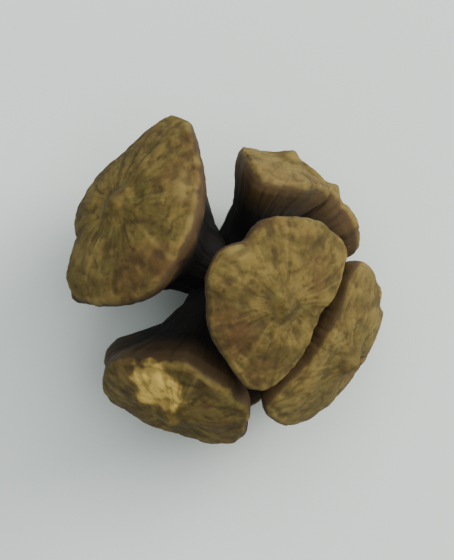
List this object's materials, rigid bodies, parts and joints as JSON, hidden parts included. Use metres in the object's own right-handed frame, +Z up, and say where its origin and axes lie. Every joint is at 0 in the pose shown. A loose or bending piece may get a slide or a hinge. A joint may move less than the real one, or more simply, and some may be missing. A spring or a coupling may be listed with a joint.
{
  "type": "cypress cone",
  "caption": "Dried, open cypress cone: chunky many-sided woody scales with small umbos, apart from each other round a short axis, resting tip up on small flats.",
  "frame": {"origin": "on the surface that the cone rests on, below the middle of its outline", "axes": "+Z up, near the cone's axis from stalk to tip, which leans a little; +X and +Y are the picture's right and up, seen from above"},
  "size_m": [0.0262, 0.027, 0.0272],
  "materials": {
    "cone_wood": "dull, weathered olive-tan faces with darker purplish-brown flanks"
  },
  "bodies": {
    "root": {"cone": "cone_wood"}
  },
  "joints": []
}
